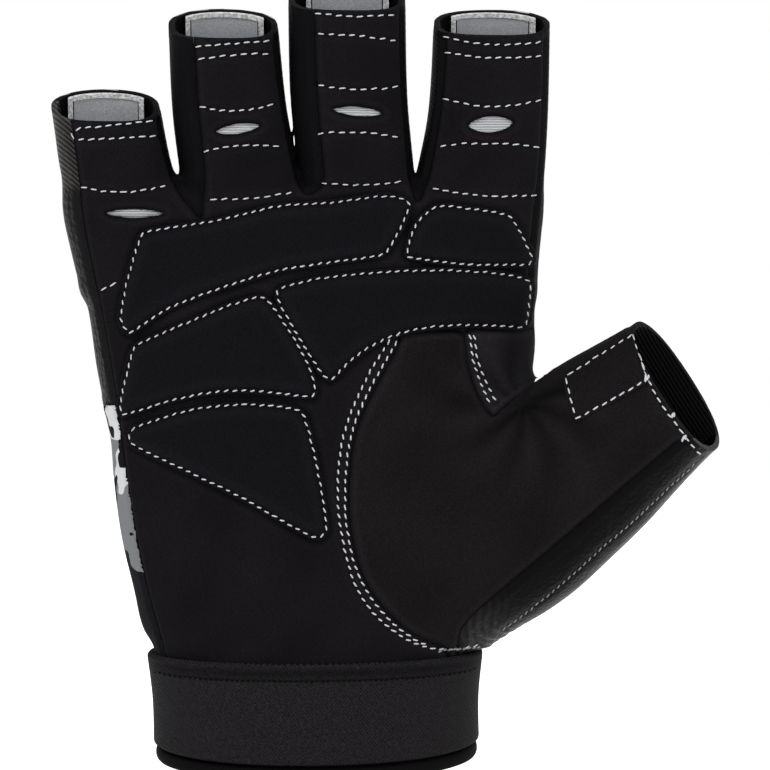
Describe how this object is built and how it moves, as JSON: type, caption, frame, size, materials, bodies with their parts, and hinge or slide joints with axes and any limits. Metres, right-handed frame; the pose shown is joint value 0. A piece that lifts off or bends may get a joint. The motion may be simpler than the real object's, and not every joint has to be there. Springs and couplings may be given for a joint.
{
  "type": "weightlifting glove",
  "caption": "Half-finger weightlifting glove for the right hand, with a padded suede palm, flex slits, an open thumb and an elastic wrist strap.",
  "frame": {"origin": "centre of the wrist opening, where the hand goes in", "axes": "+Z from the wrist opening up through the palm to the finger openings, +X towards the thumb, -Y the palm side"},
  "size_m": [0.1454, 0.0591, 0.1729],
  "materials": {
    "palm_suede": "matt black microsuede",
    "pad_suede": "matt black microsuede over foam, quilted",
    "printed_cloth": "woven stretch cloth with a grey and white patch print",
    "grained_leather": "black grained leather, soft sheen",
    "side_cloth": "black knitted stretch cloth",
    "flex_cloth": "light grey stretch cloth",
    "lining": "smooth grey lining cloth",
    "elastic": "charcoal woven elastic webbing, fine twill",
    "binding": "smooth black binding tape"
  },
  "bodies": {
    "root": {"palm_panel": "palm_suede", "back_panel": "printed_cloth", "pinky_side": "grained_leather", "fourchette_pinky_ring": "side_cloth", "fourchette_ring_middle": "side_cloth", "fourchette_middle_index": "side_cloth", "index_side": "side_cloth", "web_gusset": "palm_suede", "thumb_panel": "palm_suede", "thumb_strip": "grained_leather", "thumb_back": "side_cloth", "cuff": "side_cloth", "pad_upper": "pad_suede", "pad_index": "pad_suede", "pad_middle": "pad_suede", "pad_outer": "pad_suede", "pad_heel": "pad_suede", "thumb_patch": "pad_suede", "wrist_strap": "elastic", "strap_tab": "side_cloth", "cuff_binding": "binding", "pinky_flex_insert": "flex_cloth", "pinky_lining": "lining", "ring_flex_insert": "flex_cloth", "ring_lining": "lining", "middle_flex_insert": "flex_cloth", "middle_lining": "lining", "index_flex_insert": "flex_cloth", "index_lining": "lining"}
  },
  "joints": []
}
